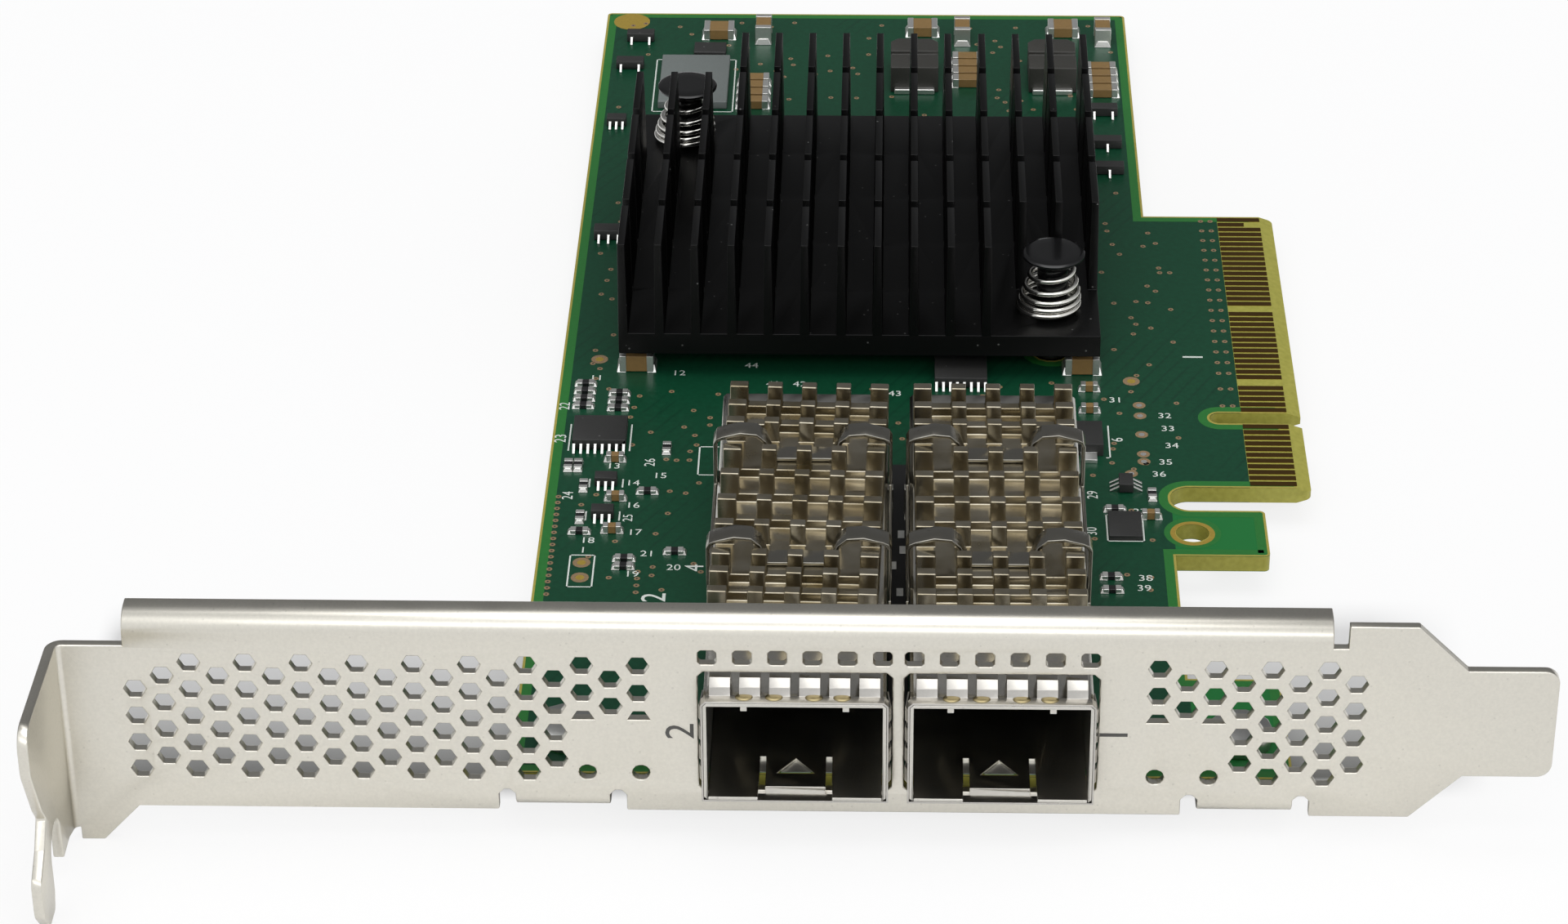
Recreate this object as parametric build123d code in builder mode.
from build123d import *
from math import atan2, cos, degrees, pi, radians, sin
import os

# A full-height network interface card with two pluggable-module ports, in millimetres.
# Origin: centre of the key notch, on the edge connector's edge, on the component surface.
# +X points out of the edge connector, +Y away from the bracket, +Z up from the components.

# Overlap that keeps a cut from leaving a skin
sliver = 0.01

# Circuit board
board_thickness = 1.57
board_length = 142.24
board_depth = 68.90
bracket_end = 57.15
board_corner = 0.5
tongue_depth = 12.80
tongue_near = 12.15
tongue_far = 39.15
bevel_run = 1.3
bevel_drop = 0.45
key_width = 1.90
key_depth = 8.49
slot_width = 3.95
slot_end_share = 0.45
tab_width = 7.50
tab_edge = 4.50
tab_hole_inset = 11.12
tab_hole_diameter = 2.95
lug_edge = 5.00
lug_length = 14.35

# Edge contacts
finger_pitch = 1.00
finger_width = 0.70
finger_length = 4.20
finger_short = 2.60
finger_inset = 1.30
finger_thickness = 0.05
fingers_before_key = 11
fingers_after_key = 38
key_gap = 3.00

# Bracket sheet
sheet = 0.86
plate_gap = 0.84
plate_bottom = -2.46
plate_top = 15.96
vent_radius = 0.92
vent_row = 2.60
vent_column = 2.25
left_vent_x = -98.505
left_vent_z = 11.646
right_vent_x = -16.34
right_vent_z = 11.765
flange_outer_radius = 1.9
flange_depth = 2.85
flange_left = -99.2
flange_right = -2.65
flange_notch = 1.19
ear_face = -105.4
ear_bend_inner = 0.5
ear_top = 13.9
ear_bend_bottom = -4.7
ear_step = 9.8
ear_step_radius = 2.0
plate_shoulder = 13.2
plate_foot = -5.9
foot_slope = (-102.15, -99.0)
end_slope_top = (4.07, 8.2)
end_slope_bottom = (4.28, 8.35)
ear_reach = 13.45
screw_slot_width = 4.25
screw_slot_offset = 7.33
end_tab_reach = 15.5
end_tab_bottom = 1.63
end_tab_width = 10.19
fold_tab_width = 7.70
fold_tab_inner = 0.44
fold_end_chamfer = 2.0
fold_notch = 1.36
fold_notch_top = -0.5
left_fold_x = -64.36
right_fold_x = -9.01

# Bracket screws
screw_seat = 5.15
screw_hole = 3.10
screw_shank = 2.90
screw_length = 4.6
screw_head = 5.20
screw_head_height = 1.60
round_sides = 14

# Ports
port_pitch = 16.57
port_centre = -37.15
window_width = 15.60
window_bottom = -0.35
window_top = 11.15
cage_width = 14.70
cage_height = 9.40
cage_sheet = 0.30
cage_corner = 0.28
cage_reach = 1.90
cage_length = 48.70
cage_window_width = 10.4
cage_window_length = 31.0
floor_clearance = 0.05
floor_notch_width = 6.0
floor_notch_depth = 2.2
latch_width = 4.9
latch_slit = 0.5
latch_length = 3.5
latch_hole = 3.1
latch_hole_depth = 2.1
latch_hole_inset = 1.2
lip_drop = 1.2
lip_clearance = 0.10
window_chamfer = 0.45
slot_hole_width = 1.50
slot_hole_height = 1.33
slot_hole_chamfer = 0.22
slot_hole_pitch = 2.81
slot_hole_count = 6
slot_hole_z = 12.52
light_hole = 1.44
light_z = 1.27
light_near = 20.78
light_far = 25.12

# Sprung collar
collar_sheet = 0.15
collar_clearance = 0.02
collar_band = 1.0
finger_arch = 1.40
finger_segments = 10
top_finger_width = 1.70
top_finger_pitch = 2.40
top_finger_count = 6
side_finger_width = 1.30
side_finger_pitch = 1.95
side_finger_count = 4
side_finger_bulge = 0.22
side_finger_crest = 0.45

# Cage heat sinks
sink_width = 13.90
sink_base = 1.00
sink_crenel_height = 1.80
sink_merlon_height = 3.80
sink_fin = 1.00
crenel_width = 1.70
edge_merlon = 1.60
middle_merlon = 1.30
sink_margin = 0.35
fin_fronts = (-50.3, -47.3, -44.6, -40.0, -36.1, -32.0, -28.0, -23.4, -20.5, -17.4)
sink_turns = {1: 0.4, 2: -1.4}
pedestal_depth = 0.45
pedestal_clearance = 0.80

# Spring clips
clip_sheet = 0.30
clip_clearance = 0.05
clip_strap = 2.00
clip_gaps = (2, 6)
clip_strap_shift = -0.40
clip_peak = 0.50
clip_peak_x = 4.7
clip_peak_width = 1.3
clip_curl = 0.35
clip_drop_x = 2.8
clip_shoulder = 0.50
clip_shoulder_rise = 0.40
clip_seat_clearance = 0.05
clip_rail_height = 2.2
clip_rail_top = 8.9
clip_leg_length = 4.0

# Module sockets
socket_width = 12.6
socket_height = 5.6
socket_length = 8.6
socket_slot_width = 9.4
socket_slot_height = 1.3
socket_slot_z = 3.4
socket_slot_depth = 5.0

# Main heat sink
main_x = -40.87
main_y = 29.15
main_size = 44.95
main_bottom = 2.60
main_base = 2.15
main_height = 11.50
main_fin = 0.90
main_fin_taper = 0.7
main_fin_count = 14
main_cut = 1.00
main_cuts = 4
main_end_segment = 7.92
pin_inset_left = 4.90
pin_inset_right = 4.40
pin_inset_y = 5.27
cleared_fins = 3

# Push pins and springs
pin_hole = 3.3
pin_shank = 2.9
pin_barb = 3.9
pin_head = 5.9
pin_head_sides = 18
pin_head_rim = 0.35
pin_head_cone = 1.15
pin_head_top = 10.9
pin_barb_length = 2.4
pin_barb_tip = 1.7
pin_split = 0.6
spring_wire = 0.55
spring_base = 6.1
spring_top = 4.5
spring_turns = 5
spring_steps = 9
spring_closing = 1.12
spring_lean = 0.4
spring_gap = 0.03

# Processor
package_inset = 6.975
package_size = main_size - 2 * package_inset
package_height = 1.9
thermal_pad_inset = 3.5
thermal_pad_size = package_size - 2 * thermal_pad_inset

# Leaded parts: body size, leads a side and their pitch, then centre x, y and turn of each
lead_thickness = 0.15
lead_width = 0.26
lead_reach = 0.85
lead_standoff = 0.10
interface_size = (4.9, 4.4, 1.1)
interface_leads = ((8, 8), 0.65)
interface_places = {"interface_ic": (-64.5, -4.3, 0), "driver_ic": (-31.35, 7.3, 0)}
six_lead_size = (2.0, 1.25, 0.95)
six_leads = ((3, 3), 0.65)
six_lead_places = (
    (-63.5, -12.25, 0),
    (-63.5, -17.8, 0),
    (-16.7, -12.3, 90),
    (-66.5, 58.7, 0),
)
wide_lead_size = (2.9, 1.6, 1.1)
wide_leads = ((3, 3), 0.95)
wide_lead_place = (-65.9, 34.2, 0)
three_lead_size = (2.9, 1.3, 1.0)
three_leads = ((2, 1), 1.9)
three_lead_places = (
    (-15.95, 61.6, 0),
    (-15.8, 54.3, 180),
    (-15.8, 48.6, 180),
    (-65.0, 78.6, 0),
    (-65.8, 72.0, 0),
)

# Blocks on the board: size x, size y and height of each kind, then centre x and y of each one
bulk_size = (3.2, 2.5, 1.75)
stack_size = (3.2, 1.5, 1.0)
stack_pitch = 1.75
end_size = (3.2, 2.5, 1.2)
tall_size = (1.7, 3.3, 2.0)
chip_size = (1.6, 0.8, 0.45)
chip_pitch = 1.35
small_capacitor_size = (1.6, 0.8, 0.8)
bulk_inset = 1.56
bulk_reach = 2.15
stacks = {1: (-52.5, 62.9), 2: (-29.95, 68.2), 3: (-15.9, 66.0)}
tall_places = ((-30.45, 79.1), (-15.4, 79.1), (-51.8, 79.3))
end_places = ((-56.6, 79.8), (-34.7, 80.7), (-19.6, 80.7))
chip_columns = (((-66.4, 1.15), 4), ((-63.15, 0.8), 3))
chip_places = (
    (-59.7, -13.8),
    (-65.4, -20.6),
    (-56.8, -23.8),
    (-61.2, -25.0),
    (-61.2, -26.3),
    (-17.85, -16.2),
    (-18.6, -27.3),
    (-18.6, -29.4),
)
upright_places = ((-67.1, -9.4), (-66.2, -9.4), (-65.5, -12.9), (-65.5, -18.2), (-58.3, -6.3), (-14.4, -13.7))
small_capacitor_places = (
    (-62.9, -8.3),
    (-62.5, -15.0),
    (-62.5, -20.4),
    (-14.7, -17.4),
    (-19.4, 4.9),
    (-19.5, 1.0),
)
diode_size = (2.65, 4.2, 1.25)
diode_place = (-19.85, -4.8)
diode_lead = (1.5, 1.3, 0.4)
leadless_size = (2.95, 4.2, 0.5)
leadless_place = (-17.05, -19.1)
inductor_size = (5.0, 7.0, 2.9)
inductor_places = ((-35.6, 69.9), (-21.1, 69.9))
inductor_groove = (0.8, 0.4)
inductor_chamfer = 0.8
flat_size = (7.2, 11.1, 0.9)
flat_place = (-58.8, 67.75)
rear_ic_size = (3.4, 2.5, 0.9)
rear_ic_place = (-57.4, 75.1)

# Status lights behind the bracket's light holes
light_size = (1.6, 0.8, 0.6)
light_y = -55.2

board_near = -bracket_end
board_far = board_length - bracket_end
plate_back = board_near - plate_gap
plate_front = plate_back - sheet
port_x = {1: port_centre + port_pitch / 2, 2: port_centre - port_pitch / 2}
main_left = main_x - main_size / 2
main_right = main_x + main_size / 2
main_near = main_y - main_size / 2
main_far = main_y + main_size / 2
pin_places = (
    (main_right - pin_inset_right, main_near + pin_inset_y),
    (main_left + pin_inset_left, main_far - pin_inset_y),
)
screw_y = board_near + screw_seat
screw_places = ((left_fold_x, screw_y), (right_fold_x, screw_y))
tab_near = -tongue_near - slot_width
tab_far = tab_near - tab_width
tab_hole = (-tab_hole_inset, (tab_near + tab_far) / 2)
os.makedirs("parts", exist_ok=True)


def rounded_outline(corners):
    """A closed outline from (x, y, corner radius) triples."""
    with BuildLine() as outline:
        FilletPolyline(
            [(x, y) for x, y, radius in corners],
            radius=[radius for x, y, radius in corners],
            close=True,
        )
    return outline.line


def bent_strip(points, thickness):
    """The edge view of a folded sheet: a path, and its copy one thickness away."""
    with BuildSketch() as strip:
        with BuildLine():
            Polyline(*points)
            offset(amount=thickness, side=Side.LEFT, kind=Kind.INTERSECTION)
        make_face()
    return strip.sketch


def block(x, y, size_x, size_y, height, bottom=0.0, turn=0):
    """A plain block on the board, added to the part being built."""
    with Locations((x, y, bottom)):
        Box(size_x, size_y, height, rotation=(0, 0, turn), align=(Align.CENTER, Align.CENTER, Align.MIN))


def prism(places, diameter, bottom, top, sides=round_sides):
    """Small round columns with few sides, added to the part being built."""
    with BuildSketch(Plane.XY.offset(bottom)) as section:
        with Locations(*places):
            RegularPolygon(diameter / 2, sides)
    extrude(section.sketch, amount=top - bottom)


# Circuit board
lug_far = board_near + lug_length
board_corners = [
    (-board_depth, board_near, 0),
    (-lug_edge, board_near, 0),
    (-lug_edge, lug_far, 0),
    (-tongue_depth, lug_far, 0),
    (-tongue_depth, tab_far, 0),
    (-tab_edge, tab_far, board_corner),
    (-tab_edge, tab_near, board_corner),
    (-tongue_depth, tab_near, slot_width * slot_end_share),
    (-tongue_depth, -tongue_near, slot_width * slot_end_share),
    (0, -tongue_near, board_corner),
    (0, tongue_far, board_corner),
    (-tongue_depth, tongue_far, 0),
    (-tongue_depth, board_far, board_corner),
    (-board_depth, board_far, board_corner),
]
with BuildPart() as board:
    with BuildSketch(Plane.XY.offset(-board_thickness)):
        make_face(rounded_outline(board_corners))
        with Locations((-key_depth / 2 + key_width / 2, 0)):
            Rectangle(key_depth, key_width, mode=Mode.SUBTRACT)
        with Locations((-key_depth + key_width / 2, 0)):
            Circle(key_width / 2, mode=Mode.SUBTRACT)
        with Locations(tab_hole):
            Circle(tab_hole_diameter / 2, mode=Mode.SUBTRACT)
        with Locations(*screw_places):
            RegularPolygon(screw_hole / 2, round_sides, mode=Mode.SUBTRACT)
        with Locations(*pin_places):
            RegularPolygon(pin_hole / 2, round_sides, mode=Mode.SUBTRACT)
    extrude(amount=board_thickness)
    with BuildSketch(Plane.XZ.offset(-tongue_far)):
        Polygon((0, 0), (-bevel_run, 0), (0, -bevel_drop), align=None)
        Polygon(
            (0, -board_thickness),
            (0, -board_thickness + bevel_drop),
            (-bevel_run, -board_thickness),
            align=None,
        )
    extrude(amount=tongue_far + tongue_near, mode=Mode.SUBTRACT)
board.part.label = "circuit_board"
export_step(board.part, "parts/circuit_board.step")

# Edge contacts: pads on both faces, none where the component side leaves one out
before_key = [-key_gap / 2 - finger_pitch * (fingers_before_key - 1 - i) for i in range(fingers_before_key)]
after_key = [key_gap / 2 + finger_pitch * i for i in range(fingers_after_key)]
finger_rows = before_key + after_key
missing_top = (16, 30)
short_pads = {"top": (47,), "bottom": (0,)}
pad_rear = -finger_inset - finger_length
for side, surface in (("top", 0.0), ("bottom", -board_thickness - finger_thickness)):
    left_out = missing_top if side == "top" else ()
    full = [y for pin, y in enumerate(finger_rows) if pin not in left_out + short_pads[side]]
    short = [finger_rows[pin] for pin in short_pads[side]]
    with BuildPart() as contacts:
        with BuildSketch(Plane.XY.offset(surface)):
            for rows, length in ((full, finger_length), (short, finger_short)):
                with Locations(*[(pad_rear + length / 2, y) for y in rows]):
                    Rectangle(length, finger_width)
        extrude(amount=finger_thickness)
    contacts.part.label = f"edge_contacts_{side}"
    export_step(contacts.part, f"parts/edge_contacts_{side}.step")

# Bracket: the flat plate with its windows and vents, then each fold
bend_start = plate_top - flange_outer_radius
ear_bend_outer = ear_bend_inner + sheet
fold_outer = fold_tab_inner + sheet
fold_start = -board_thickness + fold_tab_inner
plate_left = ear_face + ear_bend_outer
end_tab_top = end_tab_bottom + end_tab_width
plate_corners = [
    (plate_left, plate_shoulder, 0),
    (flange_left, plate_shoulder, 0),
    (flange_left, bend_start, 0),
    (flange_right, bend_start, 0),
    (flange_right, bend_start - 0.2, 0),
    (flange_right + flange_notch, bend_start - 0.2, 0),
    (flange_right + flange_notch, plate_top, 0),
    (end_slope_top[0], plate_top, 0),
    (end_slope_top[1], end_tab_top, 0),
    (end_tab_reach, end_tab_top, 1.2),
    (end_tab_reach, end_tab_bottom, 1.2),
    (end_slope_bottom[1], end_tab_bottom, 0),
    (end_slope_bottom[0], plate_bottom, 0),
    (foot_slope[1], plate_bottom, 0),
    (foot_slope[0], plate_foot, 0),
    (plate_left, plate_foot, 0),
]
# Vents: five rows and four by turns, only the top two above the ports
vents = []
half_vents = []
for column in range(19):
    x = left_vent_x + vent_column * column
    top = left_vent_z - vent_row / 2 * (column % 2)
    rows = 2 if column > 15 else 5 - column % 2
    first = 1 if column == 0 else 0
    vents += [(x, top - vent_row * row) for row in range(first, rows)]
    if column > 15 and column % 2 == 0:
        half_vents.append((x, top - vent_row * rows))
for column in range(8):
    x = right_vent_x + vent_column * column
    top = right_vent_z - vent_row / 2 * (column % 2)
    rows = 2 if column < 3 else 5 - column % 2
    vents += [(x, top - vent_row * row) for row in range(rows)]
    if column < 3 and column % 2 == 0:
        half_vents.append((x, top - vent_row * rows))
with BuildSketch() as window:
    Rectangle(window_width, window_top - window_bottom)
    chamfer(window.vertices(), length=window_chamfer)
with BuildSketch() as slot_hole:
    Rectangle(slot_hole_width, slot_hole_height)
    chamfer(slot_hole.vertices(), length=slot_hole_chamfer)
notch_height = fold_notch_top - plate_bottom
notch_corners = [
    (-fold_notch / 2, 0),
    (fold_notch / 2, 0),
    (fold_notch / 2, notch_height - fold_notch / 3),
    (fold_notch / 6, notch_height),
    (-fold_notch / 6, notch_height),
    (-fold_notch / 2, notch_height - fold_notch / 3),
]
light_places = [(port_centre + side * reach, light_z) for side in (-1, 1) for reach in (light_near, light_far)]

with BuildPart() as bracket:
    # Top flange, bent back
    flange_inner = flange_outer_radius - sheet
    flange_centre = plate_front + flange_outer_radius
    with BuildSketch(Plane.YZ.offset(flange_left)):
        with BuildLine():
            outer = CenterArc((flange_centre, bend_start), flange_outer_radius, 90, 90)
            Line(outer @ 0, (plate_front + flange_depth, plate_top))
            Line((plate_front + flange_depth, plate_top), (plate_front + flange_depth, plate_top - sheet))
            inner = CenterArc((flange_centre, bend_start), flange_inner, 90, 90)
            Line((plate_front + flange_depth, plate_top - sheet), inner @ 0)
            Line(inner @ 1, outer @ 1)
        make_face()
    extrude(amount=flange_right - flange_left)
    # Ear bend and ear with the open screw slot
    ear_centre = (plate_left, plate_front - ear_bend_inner)
    with BuildSketch(Plane.XY.offset(ear_bend_bottom)):
        with BuildLine():
            outer = CenterArc(ear_centre, ear_bend_outer, 90, 90)
            inner = CenterArc(ear_centre, ear_bend_inner, 90, 90)
            Line(outer @ 0, inner @ 0)
            Line(outer @ 1, inner @ 1)
        make_face()
    extrude(amount=plate_shoulder - ear_bend_bottom)
    ear_outer = plate_front - ear_reach
    slot_y = plate_front - screw_slot_offset
    slot_near = slot_y + screw_slot_width / 2
    slot_far = slot_y - screw_slot_width / 2
    ear_corners = [
        (ear_centre[1], plate_shoulder, 0),
        (ear_outer, ear_top, 1.8),
        (ear_outer, ear_step, ear_step_radius),
        (ear_outer + 2.5, 4.8, 0.5),
        (ear_outer + 3.6, 3.3, 0.3),
        (ear_outer + 1.9, 1.4, 0.5),
        (ear_outer - 0.6, -0.2, 1.2),
        (ear_outer - 0.6, -3.4, 1.4),
        (ear_outer + 1.2, -5.5, 0.8),
        (slot_far - 0.6, -5.5, 0.6),
        (slot_far, -4.0, 0.4),
        (slot_far, 0.9, screw_slot_width * 0.49),
        (slot_near, 0.9, screw_slot_width * 0.49),
        (slot_near, -4.1, 0.4),
        (ear_centre[1] - 1.8, -4.1, 0.8),
        (ear_centre[1], -4.7, 0),
    ]
    with BuildSketch(Plane.YZ.offset(ear_face)):
        make_face(rounded_outline(ear_corners))
    extrude(amount=sheet)
    # Lower tabs, bent under the board, with clipped ends and a screw hole
    fold_centre = (plate_back + fold_tab_inner, fold_start)
    for x in (left_fold_x, right_fold_x):
        with BuildSketch(Plane.YZ.offset(x - fold_tab_width / 2)):
            with BuildLine():
                outer = CenterArc(fold_centre, fold_outer, 180, 90)
                inner = CenterArc(fold_centre, fold_tab_inner, 180, 90)
                Line(outer @ 0, inner @ 0)
                Line(outer @ 1, inner @ 1)
            make_face()
        extrude(amount=fold_tab_width)
        tab_end = screw_y + fold_tab_width / 2
        with BuildSketch(Plane.XY.offset(-board_thickness - sheet)) as tab:
            with Locations((x, (fold_centre[0] + tab_end) / 2)):
                Rectangle(fold_tab_width, tab_end - fold_centre[0])
            chamfer(tab.vertices().group_by(Axis.Y)[-1], length=fold_end_chamfer)
            with Locations((x, screw_y)):
                RegularPolygon(screw_hole / 2, round_sides, mode=Mode.SUBTRACT)
        extrude(amount=sheet)
    # Flat plate with its windows, vents and holes
    with BuildSketch(Plane.XZ.offset(-plate_back)):
        make_face(rounded_outline(plate_corners))
        with Locations(*vents):
            RegularPolygon(vent_radius, 6, mode=Mode.SUBTRACT)
        with Locations(*half_vents):
            Polygon(
                (-vent_radius, 0),
                (vent_radius, 0),
                (vent_radius / 2, vent_radius * sin(radians(60))),
                (-vent_radius / 2, vent_radius * sin(radians(60))),
                align=None,
                mode=Mode.SUBTRACT,
            )
        with Locations(*[(x, (window_top + window_bottom) / 2) for x in port_x.values()]):
            add(window.sketch, mode=Mode.SUBTRACT)
        with Locations(*[(x, slot_hole_z) for x in port_x.values()]):
            with GridLocations(slot_hole_pitch, 1, slot_hole_count, 1):
                add(slot_hole.sketch, mode=Mode.SUBTRACT)
        with Locations(*light_places):
            RegularPolygon(light_hole / 2, round_sides, mode=Mode.SUBTRACT)
        # Reliefs beside each lower tab, and the room for its bend
        for x in (left_fold_x, right_fold_x):
            with Locations((x, (plate_bottom + fold_start) / 2)):
                Rectangle(fold_tab_width + sliver, fold_start - plate_bottom, mode=Mode.SUBTRACT)
            for side in (-1, 1):
                with Locations((x + side * (fold_tab_width + fold_notch) / 2, plate_bottom)):
                    Polygon(*notch_corners, align=None, mode=Mode.SUBTRACT)
    extrude(amount=sheet)
bracket.part.label = "bracket"
export_step(bracket.part, "parts/bracket.step")

# Bracket screws: heads on the board, shanks through the board and the bent tabs
with BuildPart() as screws:
    prism(screw_places, screw_head, 0, screw_head_height)
    prism(screw_places, screw_shank, -screw_length, 0)
screws.part.label = "bracket_screws"
export_step(screws.part, "parts/bracket_screws.step")

# Ports: everything between the bracket's window and the board, once for each port
cage_mouth = plate_front - cage_reach
cage_rear = cage_mouth + cage_length
sink_near = fin_fronts[0] - sink_margin
sink_far = fin_fronts[-1] + sink_fin + sink_margin
sink_y = (sink_near + sink_far) / 2
sink_floor = cage_height + sink_base
sink_top = cage_height + sink_merlon_height
sink_crenel = cage_height + sink_crenel_height
strap_fins = [fin_fronts[i : i + 2] for i in clip_gaps]
clip_lands = [(near + sink_fin + far) / 2 for near, far in strap_fins]
clip_straps = [y + clip_strap_shift for y in clip_lands]
merlon_pitch = middle_merlon + crenel_width
merlons = [(side * (sink_width - edge_merlon) / 2, edge_merlon) for side in (-1, 1)]
merlons += [(merlon_pitch * i, middle_merlon) for i in (-1, 0, 1)]
for number, x in port_x.items():
    # Cage: top, sides and rear folded from one sheet, with a window under the heat sink
    with BuildPart() as cage:
        with BuildSketch(Plane.XZ.offset(-cage_rear)) as section:
            with Locations((x, cage_height / 2)):
                Rectangle(cage_width, cage_height)
            chamfer(section.vertices().group_by(Axis.Z)[-1], length=cage_corner)
            with Locations((x, (cage_height - cage_sheet) / 2)):
                Rectangle(cage_width - 2 * cage_sheet, cage_height - cage_sheet, mode=Mode.SUBTRACT)
        extrude(amount=cage_length)
        with BuildSketch(Plane.XZ.offset(-cage_rear)):
            with Locations((x, (cage_height - cage_sheet) / 2)):
                Rectangle(cage_width - 2 * cage_sheet, cage_height - cage_sheet)
        extrude(amount=cage_sheet)
        with BuildSketch(Plane.XY.offset(cage_height)):
            with Locations((x, sink_y)):
                Rectangle(cage_window_width, cage_window_length)
        extrude(amount=-cage_sheet, mode=Mode.SUBTRACT)
    cage.part.label = f"port_{number}_cage"
    export_step(cage.part, f"parts/port_{number}_cage.step")

    # Floor: bottom sheet, its latch tongue between two slits bent down before the bracket
    floor_width = cage_width - 2 * cage_sheet - 2 * floor_clearance
    floor_length = cage_length - cage_sheet - floor_clearance
    notch_rear = cage_mouth + floor_notch_depth
    lip_front = plate_front - lip_clearance - cage_sheet
    with BuildPart() as floor:
        with BuildSketch(Plane.XY):
            with Locations((x, cage_mouth + floor_length / 2)):
                Rectangle(floor_width, floor_length)
            with Locations((x, cage_mouth + floor_notch_depth / 2)):
                Rectangle(floor_notch_width, floor_notch_depth, mode=Mode.SUBTRACT)
            slit_y = notch_rear + latch_length / 2
            for side in (-1, 1):
                with Locations((x + side * (latch_width + latch_slit) / 2, slit_y)):
                    Rectangle(latch_slit, latch_length + 2 * sliver, mode=Mode.SUBTRACT)
            with Locations((x, (lip_front + notch_rear) / 2)):
                Rectangle(latch_width, notch_rear - lip_front)
            with Locations((x, notch_rear + latch_hole_inset)):
                Polygon(
                    (-latch_hole / 2, 0),
                    (latch_hole / 2, 0),
                    (0, latch_hole_depth),
                    align=None,
                    mode=Mode.SUBTRACT,
                )
        extrude(amount=cage_sheet)
        lip_height = cage_sheet + lip_drop
        block(x, lip_front + cage_sheet / 2, latch_width, cage_sheet, lip_height, -lip_drop)
    floor.part.label = f"port_{number}_cage_floor"
    export_step(floor.part, f"parts/port_{number}_cage_floor.step")

    # Sprung collar: a band round the mouth, arched fingers over the top, shallow ones at the sides
    band_inner = cage_width / 2 + collar_clearance
    band_outer = band_inner + collar_sheet
    band_top = cage_height + collar_clearance
    with BuildPart() as collar:
        with BuildSketch(Plane.XZ.offset(-cage_mouth - collar_band)):
            with Locations((x, cage_height / 2)):
                for half, cut in ((band_outer, cage_corner + collar_sheet / 2), (band_inner, cage_corner)):
                    with BuildSketch(mode=Mode.PRIVATE) as outline:
                        Rectangle(2 * half, cage_height + 2 * half - cage_width)
                        chamfer(outline.vertices().group_by(Axis.Y)[-1], length=cut)
                    add(outline.sketch, mode=Mode.ADD if half == band_outer else Mode.SUBTRACT)
        extrude(amount=collar_band)
        arch_y = cage_mouth + collar_band + finger_arch - collar_sheet
        span = (top_finger_count - 1) * top_finger_pitch + top_finger_width
        with BuildSketch(Plane.YZ.offset(x - span / 2)) as arch:
            with Locations((arch_y, band_top)):
                RegularPolygon(finger_arch, finger_segments)
                RegularPolygon(finger_arch - collar_sheet, finger_segments, mode=Mode.SUBTRACT)
            with Locations((arch_y, band_top - finger_arch / 2)):
                Rectangle(3 * finger_arch, finger_arch, mode=Mode.SUBTRACT)
        for i in range(top_finger_count):
            extrude(arch.sketch.moved(Location((i * top_finger_pitch, 0, 0))), amount=top_finger_width)
        root_y = cage_mouth + collar_band
        crest_y = root_y + side_finger_crest
        tip_y = arch_y + finger_arch
        reach = (side_finger_count - 1) * side_finger_pitch / 2
        side_z = [cage_height / 2 - reach + i * side_finger_pitch for i in range(side_finger_count)]
        for side in (-1, 1):
            face = x + side * band_inner
            crest = face + side * side_finger_bulge
            thick = side * collar_sheet
            for height in side_z:
                with BuildSketch(Plane.XY.offset(height - side_finger_width / 2)):
                    Polygon(
                        (face, root_y),
                        (crest, crest_y),
                        (face, tip_y),
                        (face + thick, tip_y),
                        (crest + thick, crest_y),
                        (face + thick, root_y),
                        align=None,
                    )
                extrude(amount=side_finger_width)
    collar.part.label = f"port_{number}_emi_collar"
    export_step(collar.part, f"parts/port_{number}_emi_collar.step")

    # Heat sink: a base, ten cross fins and five merlons on each, a little askew on the cage
    turn = radians(sink_turns[number])
    sink_plane = Plane(origin=(x, sink_y, cage_height), x_dir=(cos(turn), sin(turn), 0), z_dir=(0, 0, 1))
    fin_middles = [front + sink_fin / 2 - sink_y for front in fin_fronts]
    with BuildPart() as sink:
        with BuildSketch(sink_plane):
            Rectangle(sink_width, sink_far - sink_near)
        extrude(amount=sink_base)
        with BuildSketch(sink_plane.offset(sink_base)):
            with Locations(*[(0, y) for y in fin_middles]):
                Rectangle(sink_width, sink_fin)
            for (near, far), y in zip(strap_fins, clip_lands):
                with Locations((0, y - sink_y)):
                    Rectangle(sink_width, far - near)
        extrude(amount=sink_crenel_height - sink_base)
        with BuildSketch(sink_plane.offset(sink_crenel_height)):
            for merlon_x, width in merlons:
                with Locations(*[(merlon_x, y) for y in fin_middles]):
                    Rectangle(width, sink_fin)
        extrude(amount=sink_merlon_height - sink_crenel_height)
        with BuildSketch(sink_plane):
            Rectangle(cage_window_width - 2 * pedestal_clearance, cage_window_length - 2 * pedestal_clearance)
        extrude(amount=-pedestal_depth)
    sink.part.label = f"port_{number}_heat_sink"
    export_step(sink.part, f"parts/port_{number}_heat_sink.step")

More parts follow.
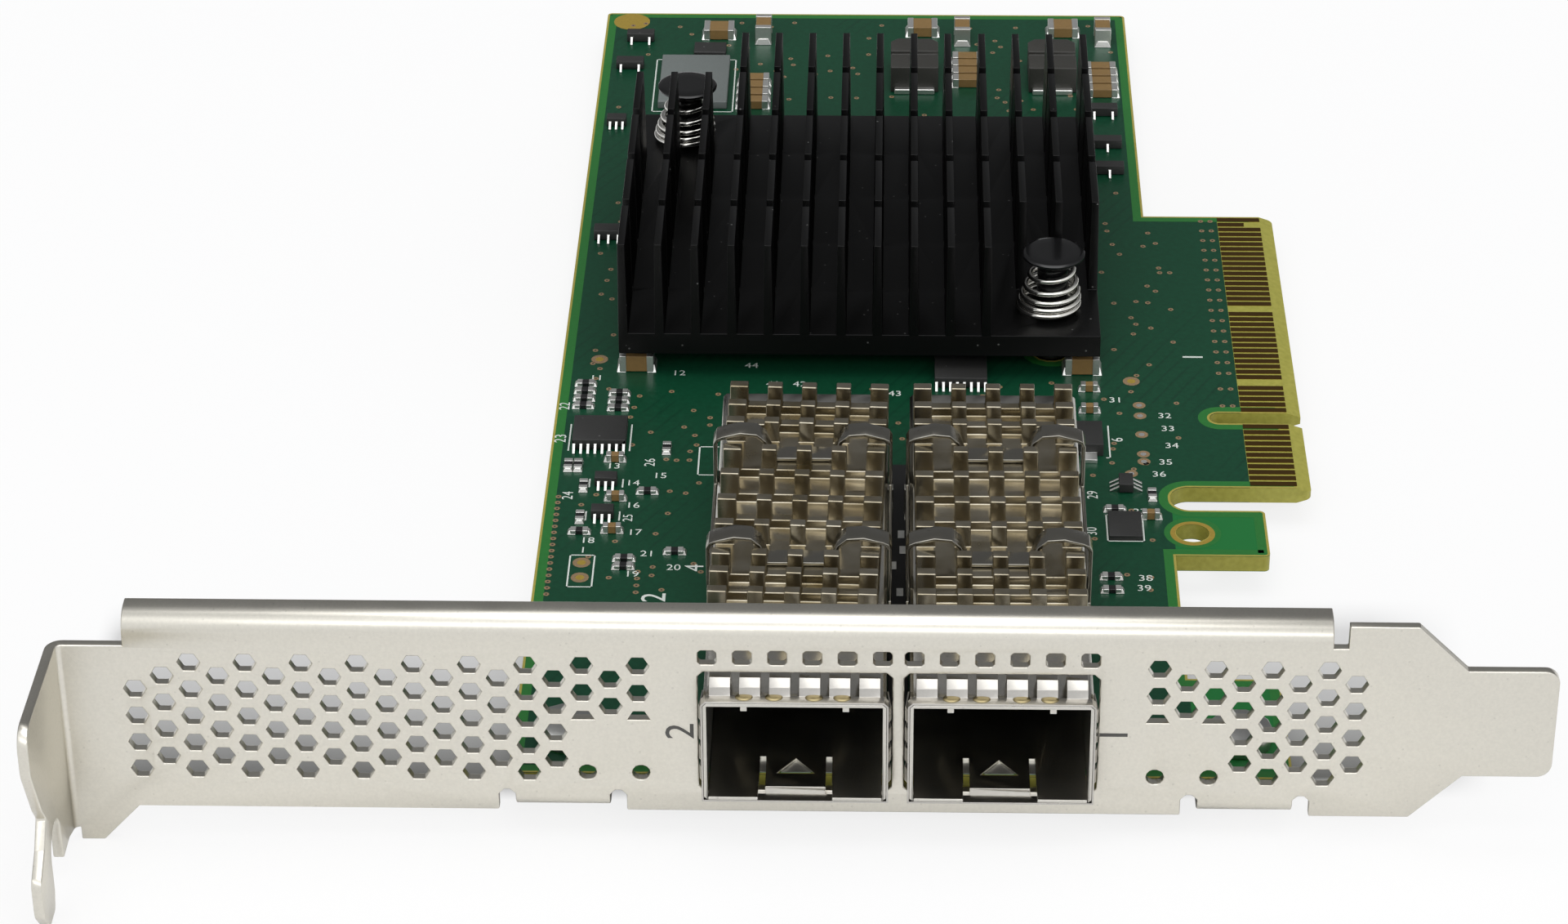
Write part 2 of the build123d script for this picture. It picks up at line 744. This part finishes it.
    # Spring clip: two straps pressed on the lands between fins, joined by side rails
    rail_x = cage_width / 2 + clip_clearance
    rail_bottom = clip_rail_top - clip_rail_height
    seat = sink_crenel + clip_seat_clearance
    peak = sink_top + clip_peak
    shoulder = peak - clip_shoulder_rise
    half_line = [
        (rail_x, rail_bottom),
        (rail_x, shoulder - clip_shoulder),
        (rail_x - clip_shoulder / 3, shoulder - clip_shoulder / 3),
        (rail_x - clip_shoulder, shoulder),
        (clip_peak_x + clip_peak_width / 2, peak),
        (clip_peak_x - clip_peak_width / 2, peak - clip_curl / 3),
        (clip_peak_x - clip_peak_width, peak - clip_curl * 2),
        (clip_drop_x, seat),
    ]
    strap_line = [(-across, up) for across, up in half_line] + half_line[::-1]
    with BuildPart() as clip:
        for y in clip_straps:
            strap_plane = Plane(origin=(x, y + clip_strap / 2, 0), x_dir=(1, 0, 0), z_dir=(0, -1, 0))
            with BuildSketch(strap_plane):
                add(bent_strip(strap_line, clip_sheet))
            extrude(amount=clip_strap)
        rail_near = clip_straps[0] - clip_strap / 2
        rail_far = clip_straps[-1] + clip_strap / 2
        for side in (-1, 1):
            centre_x = x + side * (rail_x + clip_sheet / 2)
            middle = (rail_near + rail_far) / 2
            block(centre_x, middle, clip_sheet, rail_far - rail_near, clip_rail_height, rail_bottom)
            leg_y = rail_near - clip_leg_length / 2
            block(centre_x, leg_y, clip_sheet, clip_leg_length, clip_rail_height / 2, rail_bottom)
    clip.part.label = f"port_{number}_clip"
    export_step(clip.part, f"parts/port_{number}_clip.step")

    # Module socket at the back of the cage
    socket_far = cage_rear - cage_sheet - floor_clearance
    socket_near = socket_far - socket_length
    with BuildPart() as socket:
        with BuildSketch(Plane.XZ.offset(-socket_far)):
            with Locations((x, cage_sheet + socket_height / 2)):
                Rectangle(socket_width, socket_height)
        extrude(amount=socket_length)
        with BuildSketch(Plane.XZ.offset(-socket_near)):
            with Locations((x, socket_slot_z)):
                Rectangle(socket_slot_width, socket_slot_height)
        extrude(amount=-socket_slot_depth, mode=Mode.SUBTRACT)
        chamfer(socket.edges().filter_by(Axis.Y).group_by(Axis.Z)[-1], length=0.8)
    socket.part.label = f"port_{number}_socket"
    export_step(socket.part, f"parts/port_{number}_socket.step")

# Main heat sink: base, thin tapered fins along the card, cross-cuts through the fins
main_floor = main_bottom + main_base
fin_pitch = (main_size - main_fin) / (main_fin_count - 1)
cut_pitch = (main_size - 2 * main_end_segment - main_cut) / (main_cuts - 1)
cut_middles = [main_near + main_end_segment + main_cut / 2 + cut_pitch * i for i in range(main_cuts)]
segment_edges = [main_near - main_cut / 2] + cut_middles + [main_far + main_cut / 2]
segments = [(a + main_cut / 2, b - main_cut / 2) for a, b in zip(segment_edges, segment_edges[1:])]
with BuildPart() as main_sink:
    with BuildSketch(Plane.XY.offset(main_bottom)):
        with Locations((main_x, main_y)):
            Rectangle(main_size, main_size)
        with Locations(*pin_places):
            RegularPolygon(pin_hole / 2, round_sides, mode=Mode.SUBTRACT)
    extrude(amount=main_base)
    with BuildSketch(Plane.XY.offset(main_floor)):
        for i in range(main_fin_count):
            fin_x = main_left + main_fin / 2 + fin_pitch * i
            for row, (near, far) in enumerate(segments):
                if row == 0 and i >= main_fin_count - cleared_fins:
                    continue
                if row == len(segments) - 1 and i < cleared_fins:
                    continue
                with Locations((fin_x, (near + far) / 2)):
                    Rectangle(main_fin, far - near)
    extrude(amount=main_height - main_base, taper=main_fin_taper)
main_sink.part.label = "main_heat_sink"
export_step(main_sink.part, "parts/main_heat_sink.step")

# Push pins: a mushroom head, a shank through spring, sink and board, a split barb
barb_top = -board_thickness - 0.1
rim_bottom = pin_head_top - pin_head_rim
cone_bottom = rim_bottom - pin_head_cone
with BuildPart() as pins:
    prism(pin_places, pin_head, rim_bottom, pin_head_top, pin_head_sides)
    for top, near, far, depth, sides in (
        (rim_bottom, pin_head, pin_shank, pin_head_cone, pin_head_sides),
        (barb_top, pin_barb, pin_barb_tip, pin_barb_length, round_sides),
    ):
        with BuildSketch(Plane.XY.offset(top)):
            with Locations(*pin_places):
                RegularPolygon(near / 2, sides)
        extrude(amount=-depth, taper=degrees(atan2((near - far) / 2, depth)))
    prism(pin_places, pin_shank, barb_top, cone_bottom)
    with Locations(*[(x, y, barb_top - pin_barb_length) for x, y in pin_places]):
        split = (Align.CENTER, Align.CENTER, Align.MIN)
        Box(pin_split, pin_barb, pin_barb_length - barb_top, align=split, mode=Mode.SUBTRACT)
pins.part.label = "push_pins"
export_step(pins.part, "parts/push_pins.step")

# Conical springs between the sink's base and the pin heads, their lower turns nearly closed
spring_low = (spring_base - spring_wire) / 2
spring_high = (spring_top - spring_wire) / 2
spring_start = main_floor + spring_wire / 2 + spring_gap
spring_rise = cone_bottom - spring_wire / 2 - spring_gap - spring_start
closed_rise = spring_wire * spring_closing * spring_turns


def coil_point(x, y, turns):
    """The wire's centre after so many turns from the bottom."""
    share = turns / spring_turns
    radius = spring_low + (spring_high - spring_low) * share**1.5
    rise = closed_rise * share + (spring_rise - closed_rise) * share**3
    middle = x - spring_lean * (1 - share)
    return Vector(middle + radius * cos(2 * pi * turns), y + radius * sin(2 * pi * turns), spring_start + rise)


with BuildPart() as springs:
    for x, y in pin_places:
        for station in range(spring_turns * spring_steps + 1):
            turns = station / spring_steps
            middle = coil_point(x, y, turns)
            ahead = coil_point(x, y, turns + 0.01) - middle
            out = (cos(2 * pi * turns), sin(2 * pi * turns), 0)
            with BuildSketch(Plane(origin=middle, x_dir=out, z_dir=ahead)):
                RegularPolygon(spring_wire / 2, 4)
        loft(ruled=True)
springs.part.label = "push_pin_springs"
export_step(springs.part, "parts/push_pin_springs.step")

# Processor and its thermal pad under the main sink
with BuildPart() as package:
    block(main_x, main_y, package_size, package_size, package_height)
package.part.label = "processor_package"
export_step(package.part, "parts/processor_package.step")
with BuildPart() as pad:
    block(main_x, main_y, thermal_pad_size, thermal_pad_size, main_bottom - package_height, package_height)
pad.part.label = "thermal_pad"
export_step(pad.part, "parts/thermal_pad.step")


def leaded_part(place, size, leads, pitch):
    """A moulded body with slanted leads on two of its sides."""
    x, y, turn = place
    size_x, size_y, height = size
    half = size_y / 2
    lead_top = (height + lead_standoff + lead_thickness) / 2
    lead_line = [
        (half - sliver, lead_top - lead_thickness),
        (half + lead_reach, 0),
        (half + lead_reach, lead_thickness),
        (half - sliver, lead_top),
    ]
    with BuildPart() as piece:
        block(x, y, size_x, size_y, height - lead_standoff, lead_standoff, turn)
        for side, count in zip((-1, 1), leads):
            out = (-side * sin(radians(turn)), side * cos(radians(turn)), 0)
            along = (out[1], -out[0], 0)
            for i in range(count):
                shift = pitch * (i - (count - 1) / 2)
                root = (x + along[0] * shift, y + along[1] * shift, 0)
                with BuildSketch(Plane(origin=root, x_dir=out, z_dir=along)):
                    Polygon(*lead_line, align=None)
                extrude(amount=lead_width / 2, both=True)
    return piece


# Leaded parts
leaded = {name: (place, interface_size, *interface_leads) for name, place in interface_places.items()}
for number, place in enumerate(six_lead_places, 1):
    leaded[f"six_lead_part_{number}"] = (place, six_lead_size, *six_leads)
leaded["wide_six_lead_part"] = (wide_lead_place, wide_lead_size, *wide_leads)
for number, place in enumerate(three_lead_places, 1):
    leaded[f"three_lead_part_{number}"] = (place, three_lead_size, *three_leads)
for name, details in leaded.items():
    chip = leaded_part(*details)
    chip.part.label = name
    export_step(chip.part, f"parts/{name}.step")

# Plain parts on the board, as places and a size
chip_rows = [(x, y + chip_pitch * i) for (x, y), count in chip_columns for i in range(count)]
bulk_y = main_near + bulk_reach
blocks = {
    "leadless_ic": ([leadless_place], leadless_size),
    "bulk_capacitor_1": ([(main_left + bulk_inset, bulk_y)], bulk_size),
    "bulk_capacitor_2": ([(main_right - bulk_inset, bulk_y)], bulk_size),
    "flat_package": ([flat_place], flat_size),
    "rear_ic": ([rear_ic_place], rear_ic_size),
    "end_capacitors": (end_places, end_size),
    "chip_resistors": (chip_rows + list(chip_places), chip_size),
    "upright_resistors": (upright_places, (chip_size[1], chip_size[0], chip_size[2])),
    "small_capacitors": (small_capacitor_places, small_capacitor_size),
}
for number, place in enumerate(tall_places, 1):
    blocks[f"tall_capacitor_{number}"] = ([place], tall_size)
for number, (x, y) in stacks.items():
    blocks[f"capacitor_stack_{number}"] = ([(x, y + stack_pitch * i) for i in range(4)], stack_size)
for name, (places, size) in blocks.items():
    with BuildPart() as group:
        for x, y in places:
            block(x, y, *size)
    group.part.label = name
    export_step(group.part, f"parts/{name}.step")

# Inductors: a shallow groove across the top, clipped rear corners
for number, (x, y) in enumerate(inductor_places, 1):
    with BuildPart() as inductor:
        block(x, y, *inductor_size)
        chamfer(inductor.edges().filter_by(Axis.Z).group_by(Axis.Y)[-1], length=inductor_chamfer)
        with Locations((x, y, inductor_size[2])):
            across = (Align.CENTER, Align.CENTER, Align.MAX)
            Box(inductor_size[0], *inductor_groove, align=across, mode=Mode.SUBTRACT)
    inductor.part.label = f"inductor_{number}"
    export_step(inductor.part, f"parts/inductor_{number}.step")

# Diode: a moulded body with a broad flat lead in front
with BuildPart() as diode:
    block(*diode_place, *diode_size)
    block(diode_place[0], diode_place[1] - (diode_size[1] + diode_lead[1]) / 2, *diode_lead)
diode.part.label = "diode"
export_step(diode.part, "parts/diode.step")

# Status lights
for number, (x, z) in enumerate(light_places, 1):
    with BuildPart() as light:
        block(x, light_y, *light_size)
    light.part.label = f"status_light_{number}"
    export_step(light.part, f"parts/status_light_{number}.step")
